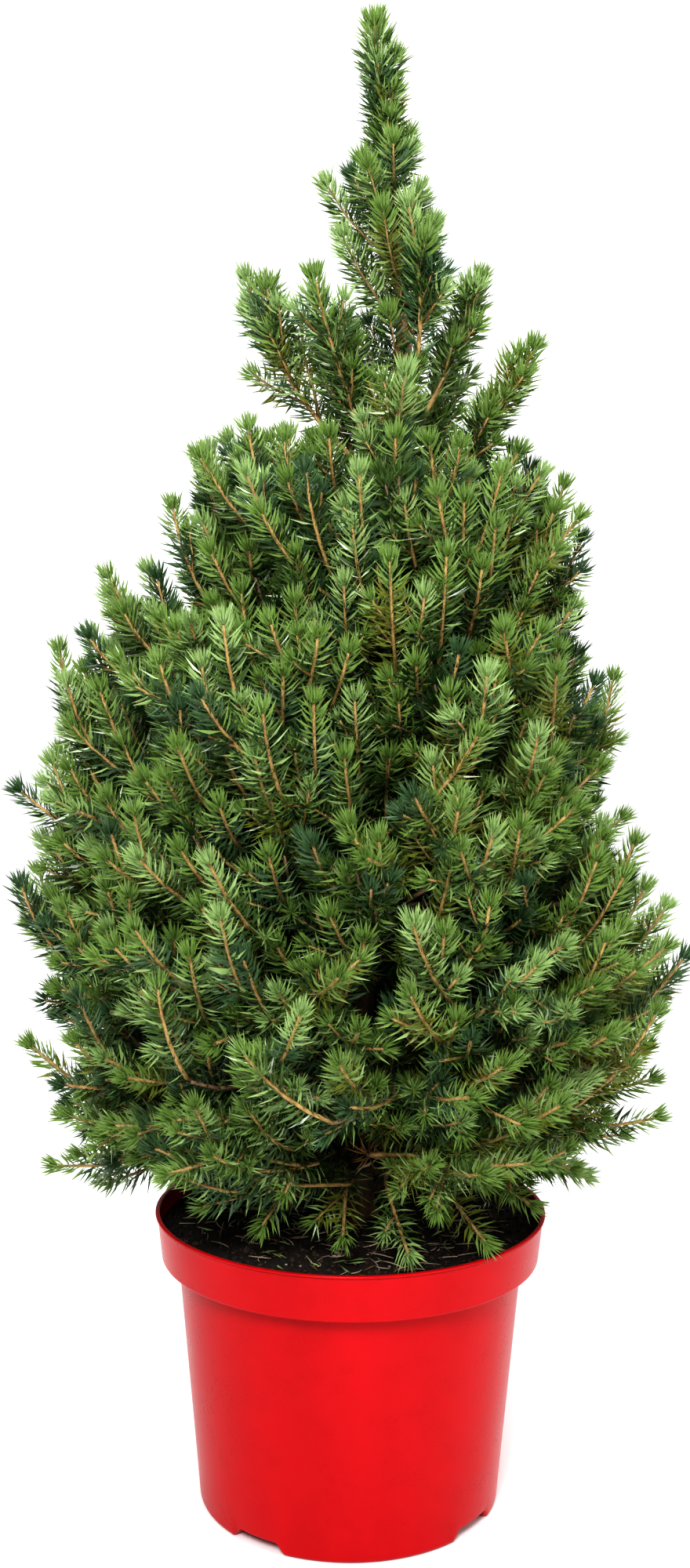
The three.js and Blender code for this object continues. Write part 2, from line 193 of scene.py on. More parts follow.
def makeStudio():
    scene = bpy.context.scene
    scene.view_settings.view_transform = "Standard"
    scene.view_settings.look = "High Contrast"
    data = bpy.data.cameras.new("camera")
    data.lens = studio["lens"]
    data.sensor_width = studio["sensor"]
    data.clip_start, data.clip_end = 0.05, 50
    camera = bpy.data.objects.new("camera", data)
    camera.location = studio["cameraAt"]
    tilt = Matrix.Rotation(math.radians(90 - studio["pitch"]), 4, "X")
    roll = Matrix.Rotation(math.radians(studio["roll"]), 4, "Z")
    camera.rotation_euler = (tilt @ roll).to_euler()
    scene.collection.objects.link(camera)
    scene.camera = camera
    scene.world = makeWorld()
    for name, lamp in studio["lamps"].items():
        addLight(name, *lamp)
    floor = bmesh.new()
    bmesh.ops.create_grid(floor, x_segments=1, y_segments=1, size=studio["floorSize"])
    mesh = bpy.data.meshes.new("floor")
    floor.to_mesh(mesh)
    floor.free()
    paper = Finish("paleFloor", Base_Color=studio["floorColour"], Roughness=0.95)
    mesh.materials.append(paper.material)
    floorPiece = bpy.data.objects.new("floor", mesh)
    scene.collection.objects.link(floorPiece)
    print("studio ready")


# a soft box brighter overhead than in front, behind which the camera sees a plain pale backdrop
def makeWorld():
    world = bpy.data.worlds.new("studio")
    world.use_nodes = True
    sky = Nodes(world.node_tree)
    way = sky.add("ShaderNodeTexCoord")
    depth = sky.add("ShaderNodeSeparateXYZ", out=1, Vector=way)
    height = sky.add("ShaderNodeSeparateXYZ", out=2, Vector=way).between(0, 1)
    sides = depth.between(-0.9, 0.25) * (studio["sideGlow"] - studio["frontGlow"]) + studio["frontGlow"]
    glow = sides + height * height * studio["topGlow"]
    seen = sky.add("ShaderNodeLightPath")
    backdrop = world.node_tree.nodes["Background"]
    backdrop.inputs["Color"].default_value = (1, 1, 1, 1)
    sky.feed(backdrop.inputs["Strength"], seen + (1 - seen) * glow)
    return world


def addLight(name, place, size, power):
    data = bpy.data.lights.new(name, "AREA")
    data.shape = "DISK"
    data.size = size
    data.energy = power
    light = bpy.data.objects.new(name, data)
    light.location = place
    aim = Vector(studio["lampAim"]) - Vector(place)
    light.rotation_euler = aim.to_track_quat("-Z", "Y").to_euler()
    bpy.context.scene.collection.objects.link(light)


# ---------- pot
pot = {
    "wall": 1.5 * mm,
    "lipOverhang": 1.0 * mm,
    "lipThickness": 1.5 * mm,
    "bandHeight": 24.5 * mm,
    "bandTaper": 2.4 * mm,
    "bandStep": 8.8 * mm,
    "baseRadius": 80.5 * mm,
    "baseRounding": 2.5 * mm,
    "fold": 1.2 * mm,
    "floorRadius": 56 * mm,
    "floorThickness": 2.2 * mm,
    "notchTurn": -36,
    "notchHeight": 5.5 * mm,
    "notchRise": 10 * mm,
    "notchHalfWidth": 11.5,  # degrees
    "notchSlope": 2.4,  # degrees
    "steps": 300,
    "red": (0.485, 0.0036, 0.0080, 1),
    "deepRed": (0.405, 0.0026, 0.0062, 1),
}


def arc(centreR, centreZ, radius, start, end, count):
    angles = [math.radians(start + (end - start) * i / count) for i in range(count + 1)]
    return [(centreR + radius * math.cos(a), centreZ + radius * math.sin(a)) for a in angles]


def potProfile():
    low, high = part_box("pot")
    lip, top = (high[0] - low[0]) / 2, high[2]
    wall, fold = pot["wall"], pot["fold"]
    bandTop = lip - pot["lipOverhang"]
    bandLow = bandTop - pot["bandTaper"]
    body = bandLow - pot["bandStep"]
    bandZ, lipZ = top - pot["bandHeight"], top - pot["lipThickness"]
    base, bend = pot["baseRadius"], pot["baseRounding"]
    inside = pot["notchHeight"] + pot["floorThickness"]
    half = pot["lipThickness"] / 2
    return (
        [(0, 0), (pot["floorRadius"] * 0.5, 0), (pot["floorRadius"], 0), (pot["floorRadius"] + 2 * mm, 0)]
        + arc(base - bend, bend, bend, -90, 0, 8)
        + [(base + (body - base) * s, bend + (bandZ - bend) * s) for s in (0.02, 0.06, 0.25, 0.5, 0.75, 0.96)]
        + arc(body + fold, bandZ - fold, fold, 180, 90, 3)
        + [(bandLow - fold, bandZ)]
        + arc(bandLow - fold, bandZ + fold, fold, -90, 0, 4)
        + [(bandTop - 0.4 * mm, lipZ - 3 * mm)]
        + arc(bandTop + 0.7 * mm, lipZ - 0.7 * mm, 0.7 * mm, 180, 90, 3)
        + arc(lip - half, lipZ + half, half, -90, 90, 6)
        + arc(bandTop - wall + half, top - half, half, 90, 180, 3)
        + [(bandLow - wall, bandZ + wall + 2 * mm)]
        + arc(bandLow - wall - fold, bandZ + wall + fold, fold, 0, -90, 3)
        + [(body - wall, bandZ + wall), (base - wall, inside + 2 * mm), (base - wall - 2 * mm, inside)]
        + [(pot["floorRadius"] + 4 * mm, inside), (pot["floorRadius"], pot["floorThickness"])]
        + [(0, pot["floorThickness"])]
    )


def makePot():
    shape = bmesh.new()
    verts = [shape.verts.new((r, 0, z)) for r, z in potProfile()]
    edges = [shape.edges.new(pair) for pair in zip(verts, verts[1:])]
    turn = {"axis": (0, 0, 1), "cent": (0, 0, 0), "angle": 2 * math.pi, "steps": pot["steps"]}
    bmesh.ops.spin(shape, geom=verts + edges, use_merge=True, **turn)
    bmesh.ops.remove_doubles(shape, verts=shape.verts, dist=1e-6)
    inside = pot["notchHeight"] + pot["floorThickness"]
    for vert in shape.verts:
        radius = math.hypot(vert.co.x, vert.co.y)
        under = vert.co.z < pot["notchRise"] and radius > pot["floorRadius"] + 1 * mm
        inner = vert.co.z >= inside - 1e-5 and radius < pot["baseRadius"] - pot["wall"] + 0.1 * mm
        if under and not inner:
            turned = math.degrees(math.atan2(vert.co.y, vert.co.x)) - pot["notchTurn"]
            off = abs((turned + 45) % 90 - 45)  # from the middle of the nearest of four notches
            depth = (pot["notchHalfWidth"] - off) / pot["notchSlope"]
            share = min(max(depth, 0), 1)
            rise = pot["notchHeight"] * (1 - vert.co.z / pot["notchRise"])
            vert.co.z += rise * share
    bmesh.ops.recalc_face_normals(shape, faces=shape.faces)
    newPiece("pot_shell", meshFromBmesh("pot_shell", shape, 50), potPlastic(), ["pot"])


def potPlastic():
    red = Finish("redPotPlastic", Roughness=0.3, Specular_IOR_Level=0.15)
    flow = red.cloud(18, 3, 0.5, (1, 1, 0.1))  # upright flow marks of the moulding
    mottle = red.cloud(60, 3, 0.6)
    grain = red.cloud(1100, 2, 0.6)
    scratches = red.cloud(260, 2, 0.5, (1, 1, 0.06)).between(0.72, 0.8)
    shade = (flow * 0.7 + mottle * 0.3).between(0.35, 0.68)
    red.drive(Base_Color=red.blend(shade, pot["deepRed"], pot["red"]))
    red.drive(Roughness=mottle * 0.1 + grain * 0.08 + scratches * 0.15 + 0.2)
    red.relief(flow * 0.6 + grain * 0.07 - scratches * 0.1, 0.0005, 0.4)
    return red


# ---------- soil
soil = {
    "rings": 70,
    "steps": 220,
    "roughness": 1.4 * mm,
    "edgeDrop": 3.0 * mm,
    "centreDrop": 0.3 * mm,
    "swellRadius": 95 * mm,
    "underRadius": 88 * mm,
    "underLift": 45 * mm,
    "footRadius": 78 * mm,
    "footHeight": 9 * mm,
    "crumbs": 2600,
    "crumbSize": (0.5 * mm, 1.9 * mm),
    "pebbleAt": (0.0135, -0.0885),
    "pebbleSize": (2.1 * mm, 1.6 * mm, 1.5 * mm),
    "fibres": 240,
    "fibreLength": (5 * mm, 15 * mm),
    "fibreInset": 15 * mm,
    "fallen": 130,
    "fallenInset": 13 * mm,
    "fallenLength": (8, 13),  # mm
    "fallenBrown": 0.45,
    "peat": (0.012, 0.008, 0.006),
    "crust": (0.050, 0.038, 0.031),
    "pale": (0.32, 0.28, 0.23, 1),
    "straw": (0.60, 0.46, 0.34, 1),
    "darkCrumb": (0.016, 0.011, 0.009, 1),
    "brownCrumb": (0.055, 0.034, 0.022, 1),
}
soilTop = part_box("soil")[1][2]


def soilHeight(x, y):
    radius = math.hypot(x, y)
    edge, centre = soilTop - soil["edgeDrop"], soilTop - soil["centreDrop"]
    swell = edge + (centre - edge) * max(0.0, 1 - radius / soil["swellRadius"]) ** 0.8
    spot = Vector((x, y, 0.0))
    broad = noise.noise(spot * 38) * 1.1 + noise.noise(spot * 90) * 0.8
    fine = noise.noise(spot * 260) * 0.5 + noise.noise(spot * 520) * 0.35
    return swell + soil["roughness"] * (broad + fine) * 0.6


def makeSoil():
    low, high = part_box("soil")
    reach = (high[0] - low[0]) / 2 - 0.3 * mm
    shape = bmesh.new()
    radii = [reach * math.sqrt(i / soil["rings"]) for i in range(soil["rings"] + 1)]
    mark = 0.1  # marks the rings of the surface until the peat's own height replaces it
    under = [(reach - 1 * mm, 0.094), (soil["underRadius"], 0.093)]
    foot = [(soil["footRadius"], soil["footHeight"]), (0, soil["footHeight"])]
    profile = [(r, mark) for r in radii] + under + foot
    verts = [shape.verts.new((r, 0, z)) for r, z in profile]
    edges = [shape.edges.new(pair) for pair in zip(verts, verts[1:])]
    turn = {"axis": (0, 0, 1), "cent": (0, 0, 0), "angle": 2 * math.pi, "steps": soil["steps"]}
    bmesh.ops.spin(shape, geom=verts + edges, use_merge=True, **turn)
    bmesh.ops.remove_doubles(shape, verts=shape.verts, dist=1e-6)
    for vert in shape.verts:
        if vert.co.z > mark - 0.1 * mm:
            vert.co.z = soilHeight(vert.co.x, vert.co.y)
        elif vert.co.z > mark - 10 * mm:
            vert.co.z += soil["underLift"]
    bmesh.ops.recalc_face_normals(shape, faces=shape.faces)
    peat = Finish("darkPeat", Roughness=0.95, Specular_IOR_Level=0.25)
    grain = peat.cloud(900, 4, 0.7)
    clods = peat.cloud(160, 4, 0.65)
    tone = (grain * 0.5 + clods * 0.5).between(0.38, 0.68)
    peat.drive(Base_Color=peat.blend(tone, (*soil["peat"], 1), (*soil["crust"], 1)))
    peat.relief(grain * 0.5 + clods * 0.6, 0.0016)
    newPiece("soil_surface", meshFromBmesh("soil_surface", shape, 80), peat, ["soil"])
    makeCrumbs(reach)
    makeFibres(reach)


def lumpShape():
    shape = bmesh.new()
    bmesh.ops.create_icosphere(shape, subdivisions=1, radius=1)
    points = np.array([v.co[:] for v in shape.verts])
    corners = np.array([[v.index for v in f.verts] for f in shape.faces])
    shape.free()
    return points, corners


def scatterSpot(reach):
    radius, angle = reach * math.sqrt(rng.uniform(0.02, 0.97)), rng.uniform(0, 2 * math.pi)
    x, y = radius * math.cos(angle), radius * math.sin(angle)
    return np.array([x, y, soilHeight(x, y)])


def makeCrumbs(reach):
    points, corners = lumpShape()
    kinds = {"dark": [], "brown": [], "pale": []}
    for i in range(soil["crumbs"]):
        size = rng.uniform(*soil["crumbSize"]) * rng.uniform(0.5, 1)
        kind = "dark" if i % 9 < 5 else "brown" if i % 9 < 8 or i % 4 else "pale"
        if kind == "pale":
            size *= 0.55
        stretch = size * rng.uniform(0.6, 1.3, 3)
        wobble = points * (1 + rng.uniform(-0.25, 0.25, (len(points), 1)))
        kinds[kind].append(wobble @ randomTurn().T * stretch + scatterSpot(reach) + up * size * 0.2)
    pebble = points * (1 + rng.uniform(-0.1, 0.1, (len(points), 1)))
    x, y = soil["pebbleAt"]
    spot = np.array([x, y, soilHeight(x, y) + 1 * mm])
    kinds["pale"].append(pebble * soil["pebbleSize"] + spot)
    looks = {"dark": soil["darkCrumb"], "brown": soil["brownCrumb"], "pale": soil["pale"]}
    for kind, lumps in kinds.items():
        allPoints = np.concatenate(lumps)
        allCorners = np.concatenate([corners + k * len(points) for k in range(len(lumps))])
        finish = Finish(kind + "Crumbs", Base_Color=looks[kind], Roughness=0.9)
        speckle = finish.cloud(1400, 2, 0.6)
        colour = looks[kind]
        darker = tuple(0.6 * c for c in colour[:3]) + (1,)
        finish.drive(Base_Color=finish.blend(speckle.between(0.4, 0.6), darker, colour))
        mesh = meshFromArrays("soil_crumbs_" + kind, allPoints, allCorners, False)
        newPiece("soil_crumbs_" + kind, mesh, finish)


# fine roots and chips of straw that lie on the peat, and needles that have dropped on it
def makeFibres(reach):
    fibres = []
    thickness = np.array([0.2, 0.34, 0.34, 0.28, 0.14]) * mm
    for _ in range(soil["fibres"]):
        foot = scatterSpot(reach - soil["fibreInset"]) + up * 0.5 * mm
        turn, length = rng.uniform(0, 2 * math.pi), rng.uniform(*soil["fibreLength"])
        ahead = np.array([math.cos(turn), math.sin(turn), rng.uniform(0, 0.25)])
        aside = np.array([-ahead[1], ahead[0], 0]) * rng.uniform(-0.4, 0.4)
        way = (foot, foot + (ahead * 0.5 + aside) * length, foot + ahead * length)
        fibres.append(tube(bezier(*way, np.linspace(0, 1, len(thickness))), thickness, 4))
    verts, faces = joinTubes(fibres)
    straw = Finish("paleStraw", Roughness=0.8)
    mix = straw.cloud(60, 2, 0.5).between(0.35, 0.65)
    darker = tuple(0.35 * c for c in soil["straw"][:3]) + (1,)
    straw.drive(Base_Color=straw.blend(mix, darker, soil["straw"]))
    newPiece("soil_fibres", meshFromArrays("soil_fibres", verts, faces), straw)
    for _ in range(soil["fallen"]):
        turn = rng.uniform(0, 2 * math.pi)
        foot = scatterSpot(reach - soil["fallenInset"]) + up * 0.7 * mm
        ahead = unit(np.array([math.cos(turn), math.sin(turn), rng.uniform(-0.05, 0.2)]))
        curve = rng.normal(size=3)
        length = rng.uniform(*soil["fallenLength"]) * mm
        row = np.concatenate([foot, ahead, curve, [length, 0.1]])
        colour = "dryBrown" if rng.uniform() < soil["fallenBrown"] else "paleGreen"
        needleStore[colour].append(row[None])


def randomTurn():
    q, _ = np.linalg.qr(rng.normal(size=(3, 3)))
    return q * np.sign(np.linalg.det(q))


# ---------- limbs
limb = {
    "forkDrop": 34 * mm,
    "elbow": 18 * mm,
    "boughRadius": 3.3 * mm,
    "boughEnd": 1.2 * mm,
    "trunkSides": 40,
    "boughSides": 12,
    "boughWobble": 0.18,
    "flare": 0.25,
    "oldBark": ((0.05, 0.03, 0.018, 1), (0.22, 0.13, 0.075, 1)),
    "youngBark": ((0.26, 0.14, 0.06, 1), (0.52, 0.33, 0.15, 1)),
    "barkChange": (0.42, 0.58),
}


# rings of the trunk's solid, from its foot to its tip: height, middle and radius
def trunkRings():
    points = nodePoints("trunk")
    heights = np.round(points[:, 2], 5)
    rings = []
    for height in np.unique(heights):
        ring = points[heights == height]
        if len(ring) < 5:
            continue
        middle = (ring.max(0) + ring.min(0)) / 2
        reach = np.linalg.norm(ring[:, :2] - middle[:2], axis=1)
        rings.append((height, middle[0], middle[1], reach.mean()))
    return np.array(rings)


def trunkAt(height):
    height = np.asarray(height, dtype=float)
    x, y, r = (np.interp(height, trunkTable[:, 0], trunkTable[:, k]) for k in (1, 2, 3))
    return np.stack([x, y, height], -1), r


def bezier(p0, p1, p2, t):
    t = np.asarray(t)[..., None]
    return (1 - t) ** 2 * p0 + 2 * t * (1 - t) * p1 + t**2 * p2


def bezierWay(p0, p1, p2, t):
    t = np.asarray(t)[..., None]
    return unit(2 * (1 - t) * (p1 - p0) + 2 * t * (p2 - p1))


def sideAxes(way):
    helper = np.where(np.abs(way[..., 2:3]) > 0.95, [1.0, 0.0, 0.0], [0.0, 0.0, 1.0])
    first = unit(np.cross(way, helper))
    return first, np.cross(way, first)


# closed tapering tube through points
def tube(points, radii, sides):
    way = unit(np.gradient(points, axis=0))
    first, second = sideAxes(way)
    angles = np.arange(sides) * 2 * math.pi / sides
    around = np.cos(angles)[None, :, None] * first[:, None] + np.sin(angles)[None, :, None] * second[:, None]
    rings = points[:, None] + around * np.asarray(radii)[:, None, None]
    count = len(points)
    verts = np.concatenate([rings.reshape(-1, 3), points[:1], points[-1:]])
    ring, side = np.meshgrid(np.arange(count - 1), np.arange(sides), indexing="ij")
    a = ring * sides + side
    b = ring * sides + (side + 1) % sides
    walls = np.stack([a, b, b + sides, a, b + sides, a + sides], -1).reshape(-1, 3)
    loop = np.arange(sides)
    following = (loop + 1) % sides
    foot = np.stack([np.full(sides, count * sides), following, loop], -1)
    last = (count - 1) * sides
    end = np.stack([np.full(sides, count * sides + 1), last + loop, last + following], -1)
    return verts, np.concatenate([walls, foot, end])


def joinTubes(tubes):
    offsets = np.cumsum([0] + [len(v) for v, _ in tubes])
    verts = np.concatenate([v for v, _ in tubes])
    faces = np.concatenate([f + offset for (_, f), offset in zip(tubes, offsets)])
    return verts, faces


def boughRoute(massName):
    low, high = (np.array(c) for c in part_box(massName))
    centre = (low + high) / 2
    fork, radius = trunkAt(max(centre[2] - limb["forkDrop"], trunkTable[0, 0] + 12 * mm))
    outwards = unit((centre - fork) * (1, 1, 0))
    start = fork + outwards * radius * 0.6
    elbow = start + outwards * limb["elbow"]
    return start, elbow, centre


# ---------- foliage
# how far shoots rise above level at each height of their tips, in degrees
riseByHeight = {
    0.165: -14, 0.19: 6, 0.22: 18, 0.26: 33, 0.32: 50,
    0.40: 61, 0.48: 67, 0.56: 74, 0.64: 78, 0.74: 84,
}
foliage = {
    "needleLength": 13.4 * mm,
    "needleWidth": 0.88 * mm,
    "needlesPerMm": 1.65,
    "needleCrowding": 0.82,
    "needleLeans": (72, 62, 50, 32),  # degrees from the shoot, from its foot to its tip
    "tuftLean": 44,
    "tuftNeedles": 28,
    "sideTuft": 14,
    "uprightTuft": 30,
    "accentShare": 0.22,
    "tipShare": 0.8,
    "tipSpacing": 20 * mm,
    "tipInset": 8.5 * mm,
    "tipSetback": 28 * mm,
    "shootLength": (44 * mm, 80 * mm),
    "riseSpread": 0.2,
    "steepest": 1.44,  # radians
    "turnSpread": 0.32,
    "sideLength": (16 * mm, 32 * mm),
    "sideAngle": (32, 55),
    "sideNeedles": 0.88,
    "sideThinning": 0.78,
    "thinBelow": 0.25,
    "crevice": 14 * mm,
    "lowest": 0.172,
    "highest": 0.573,
    "leastReach": 45 * mm,
    "tries": 16000,
    "frontLift": 52 * mm,
    "backLift": 24 * mm,
    "hollowTurn": -96,
    "hollowHalf": 17,
    "hollowLift": 30 * mm,
    "sideInset": 6 * mm,
    "strays": 0.15,
    "strayReach": 9 * mm,
    "strayLength": 1.35,
    "innerShoots": 350,
    "innerLength": (34, 58),  # mm
    "heartHeights": (0.19, 0.27),
    "topShoots": 44,
}
# shadeGreen and deepGreen also serve as painted shade on sprays deep inside the crown
needleColours = {
    "paleGreen": (0.275, 0.395, 0.150, 1),
    "freshGreen": (0.172, 0.270, 0.068, 1),
    "blueGreen": (0.060, 0.118, 0.050, 1),
    "midGreen": (0.064, 0.112, 0.027, 1),
    "deepGreen": (0.024, 0.054, 0.014, 1),
    "shadeGreen": (0.011, 0.026, 0.007, 1),
    "oliveGreen": (0.150, 0.175, 0.028, 1),
    "dryBrown": (0.170, 0.085, 0.030, 1),
}
# accent greens mixed among a spray's older needles: partly paler waxy needles, partly painted glints
accents = {
    "blueGreen": "paleGreen", "midGreen": "paleGreen", "deepGreen": "freshGreen", "shadeGreen": "midGreen",
    "oliveGreen": "paleGreen", "freshGreen": "midGreen", "dryBrown": "shadeGreen",
}
needleStore = {name: [] for name in needleColours}
twigStore = {"young": [], "old": []}


def riseAt(height):
    return math.radians(np.interp(height, list(riseByHeight), list(riseByHeight.values())))


# needles spiral round a shoot, wide at its foot and closing into a tuft at its tip
def addNeedles(route, count, length, body, tip, tuft=0, start=0.08, openness=1.0, spread=foliage["tuftLean"]):
    steps = ((np.arange(count) + rng.uniform(0, 0.9, count)) / max(count, 1)) ** foliage["needleCrowding"]
    t = start + (1 - start) * steps
    turn = np.arange(count) * goldenAngle + rng.uniform(0, 6.3)
    open_ = np.interp(t, [0, 0.6, 0.85, 1], foliage["needleLeans"]) * openness
    size = length * np.interp(t, [0, 0.25, 0.8, 1], [0.85, 1, 0.98, 0.8])
    if tuft:
        t = np.concatenate([t, np.ones(tuft)])
        turn = np.concatenate([turn, np.arange(tuft) * goldenAngle])
        open_ = np.concatenate([open_, spread * np.sqrt((np.arange(tuft) + 0.3) / tuft)])
        size = np.concatenate([size, np.full(tuft, length * 0.8)])
    total = len(t)
    centre, way = bezier(*route, t), bezierWay(*route, t)
    first, second = sideAxes(way)
    turn = turn + rng.normal(0, 0.25, total)
    radial = np.cos(turn)[:, None] * first + np.sin(turn)[:, None] * second
    angle = np.radians(open_ + rng.normal(0, 6, total))[:, None]
    lift = 0.16 * (1 - np.abs(way[:, 2:3])) * up
    needle = unit(np.cos(angle) * way + np.sin(angle) * radial + lift)
    curve = unit(way + 0.35 * up + rng.normal(0, 0.12, (total, 3)))
    size = size * rng.uniform(0.82, 1.12, total)
    bend = rng.uniform(0.05, 0.2, total)
    tipped = t > foliage["tipShare"]
    rows = np.concatenate([centre, needle, curve, size[:, None], bend[:, None]], axis=1)
    # a share of the older needles takes an accent green, mostly paler: partly paler waxy needles, partly
    # painted glints
    lighter = ~tipped & (rng.uniform(size=total) < foliage["accentShare"])
    needleStore[body].append(rows[~tipped & ~lighter])
    needleStore[accents[body]].append(rows[lighter])
    needleStore[tip].append(rows[tipped])


def addTwig(route, thick, thin, kind, steps=5, sides=4):
    t = np.linspace(0, 1, steps)
    twigStore[kind].append(tube(bezier(*route, t), thick + (thin - thick) * t, sides))


# the colours of a spray: its older needles and its newest ones
def pickColours(place, depth):
    roll, second = rng.uniform(size=2)
    # sprays deep inside the crown get the darkest greens: painted shade
    if depth > 0.6:
        return ("shadeGreen", "deepGreen") if roll < 0.7 else ("deepGreen", "midGreen")
    olive = np.interp(place[0], [-0.05, 0.12], [0.10, 0.55]) * np.interp(place[2], [0.3, 0.5], [1, 0.5])
    if roll < olive:
        return "oliveGreen", "freshGreen"
    blue = np.interp(place[0], [-0.15, 0.1], [0.4, 0.12])
    if roll < olive + blue:
        return "blueGreen", "paleGreen" if second < 0.45 else "freshGreen"
    if roll < 0.82:
        return "midGreen", "freshGreen" if second < 0.6 else "paleGreen"
    return "deepGreen", "blueGreen" if second < 0.5 else "freshGreen"


# short side shoots leave a shoot on its two sides, or all round where it stands upright
def addSideShoots(route, count, span, colours, size, width=1.0, angles=foliage["sideAngle"], kind="young"):
    for k in range(count):
        t = rng.uniform(*span)
        base, ahead = bezier(*route, t), bezierWay(*route, t)
        first, second = sideAxes(ahead)
        turn = k * math.pi + rng.uniform(-0.8, 0.8) + (0 if abs(ahead[2]) < 0.6 else k * 2.4)
        angle = math.radians(rng.uniform(*angles))
        radial = math.cos(turn) * first + math.sin(turn) * second
        side = unit(math.cos(angle) * ahead + math.sin(angle) * radial)
        length = rng.uniform(*size) * np.interp(t, [0.2, 1.0], [1.0, 0.6])
        middle = base + side * length * 0.5
        end = middle + unit(side + 0.4 * ahead) * length * 0.5
        way = (base, middle, end)
        needles = int(length / mm * foliage["needlesPerMm"])
        bladeLength = foliage["needleLength"] * foliage["sideNeedles"] * width
        addNeedles(way, needles, bladeLength, *colours, foliage["sideTuft"], 0.1)
        addTwig(way, 0.8 * mm, 0.6 * mm, kind, 3, 4)


# a shoot ends at its tip along its own way, and its foot lies flatter
def addShoot(tip, way, length, depth=0.0, sides=2):
    flat = unit(way + np.array([0, 0, -0.5]) + 0.25 * unit(way * (1, 1, 0)))
    middle = tip - way * length * 0.52
    foot = middle - flat * length * 0.48
    route = (foot, middle, tip)
    colours = pickColours(tip, depth)
    width = 1 + 0.1 * depth
    count = int(length / mm * foliage["needlesPerMm"] * (1 - 0.4 * depth))
    tuft = int(foliage["tuftNeedles"] * (1 - 0.5 * depth))
    addNeedles(route, count, foliage["needleLength"] * width, *colours, tuft)
    # shoots deep inside take the dark old bark: partly older wood, partly painted shade
    kind = "old" if depth > 0.6 else "young"
    addTwig(route, 1.2 * mm, 0.75 * mm, kind, 5, 5)
    shrink = min(1.0, length / (45 * mm))
    size = tuple(s * shrink for s in foliage["sideLength"])
    addSideShoots(route, sides, (0.12, 0.66), colours, size, width, kind=kind)
    return foot, flat


# an older twig from the limb that carries a mass to the foot of a shoot, half bare and in shade
def joinToLimb(route, foot, way):
    spots = bezier(*route, np.linspace(0.12, 1.0, 26))
    gaps = np.linalg.norm(spots - foot, axis=1)
    nearest = int(gaps.argmin())
    origin = spots[max(0, nearest - int(0.5 * gaps[nearest] / (4 * mm)))]
    span = np.linalg.norm(foot - origin)
    if span < 4 * mm:
        return
    way = unit(way + 0.9 * unit(foot - origin))
    twig = (origin, foot - way * span * 0.45, foot)
    addTwig(twig, 1.3 * mm, 0.9 * mm, "old", 5, 4)
    count = int(span / mm * foliage["needlesPerMm"] * 0.5)
    if count > 3:
        # the needles on these twigs get the darkest greens as painted shade
        shade = "shadeGreen" if rng.uniform() < 0.6 else "deepGreen"
        shade = "dryBrown" if rng.uniform() < 0.05 else shade
        addNeedles(twig, count, foliage["needleLength"], shade, shade, 0, 0.2)


def crownTree(names):
    points, corners = [], []
    for name in names:
        mesh = nodes[name].data
        offset = len(points)
        points += [v.co.copy() for v in mesh.vertices]
        corners += [[offset + k for k in polygon.vertices] for polygon in mesh.polygons]
    return BVHTree.FromPolygons(points, corners)


# how far the crown's tiers reach from the trunk's line, bridging the crevices between masses
def crownReach(tree, turn, height):
    outwards = Vector((math.cos(turn), math.sin(turn), 0))
    reach = 0
    for shift in (-foliage["crevice"], 0, foliage["crevice"]):
        axis = Vector(trunkAt(height + shift)[0])
        hit = tree.ray_cast(axis + outwards * 0.4, -outwards, 0.4)
        if hit[0] is not None:
            reach = max(reach, (hit[0] - axis).xy.length)
    return reach


def underside(turn):
    lift = foliage["frontLift"] if turn < 0 else foliage["backLift"]
    return foliage["lowest"] + lift * abs(math.sin(turn)) ** 1.3


# tips of the outer shoots, none nearer to another than the spacing
def outerTips(tree):
    tips = np.zeros((4000, 3))
    found = 0
    for _ in range(foliage["tries"]):
        turn = rng.uniform(-math.pi, math.pi)
        height = rng.uniform(foliage["lowest"], foliage["highest"])
        hollow = abs(math.degrees(turn) - foliage["hollowTurn"]) < foliage["hollowHalf"]
        lowest = underside(turn) + (foliage["hollowLift"] if hollow else 0)
        if height < lowest:
            continue
        if height < foliage["thinBelow"] and rng.uniform() < foliage["sideThinning"] * abs(math.cos(turn)):
            continue
        reach = crownReach(tree, turn, height)
        if reach < foliage["leastReach"] or rng.uniform(0, 0.19) > reach:
            continue
        reach -= foliage["tipSetback"] * rng.uniform(0, 1)
        axis, _ = trunkAt(height)
        spot = axis + reach * np.array([math.cos(turn), math.sin(turn), 0])
        if found and np.linalg.norm(tips[:found] - spot, axis=1).min() < foliage["tipSpacing"]:
            continue
        tips[found] = spot
        found += 1
    return tips[:found]


def outwardsAt(spot):
    axis, _ = trunkAt(spot[2])
    return unit((spot - axis) * (1, 1, 0))


def nearestRoute(routes, spot):
    gaps = [np.linalg.norm(bezier(*route, np.linspace(0.3, 1, 6)) - spot, axis=1).min() for route in routes]
    return routes[int(np.argmin(gaps))]


def growTiers(tree, routes):
    tips = outerTips(tree)
    for spot in tips:
        rise = min(riseAt(spot[2]) + rng.normal(0, foliage["riseSpread"]), foliage["steepest"])
        turned = rng.normal(0, foliage["turnSpread"])
        outwards = outwardsAt(spot)
        aside = np.array([-outwards[1], outwards[0], 0])
        level = outwards * math.cos(turned) + aside * math.sin(turned)
        way = math.cos(rise) * level + math.sin(rise) * up
        length = rng.uniform(*foliage["shootLength"])
        if rng.uniform() < foliage["strays"]:
            length *= foliage["strayLength"]
            spot = spot + outwards * foliage["strayReach"]
        tip = spot - way * foliage["tipInset"] - outwards * foliage["sideInset"] * max(math.sin(rise), 0)
        foot, flat = addShoot(tip, way, length, 0.0, rng.integers(1, 4))
        joinToLimb(nearestRoute(routes, foot), foot, flat)
    print("outer shoots", len(tips))


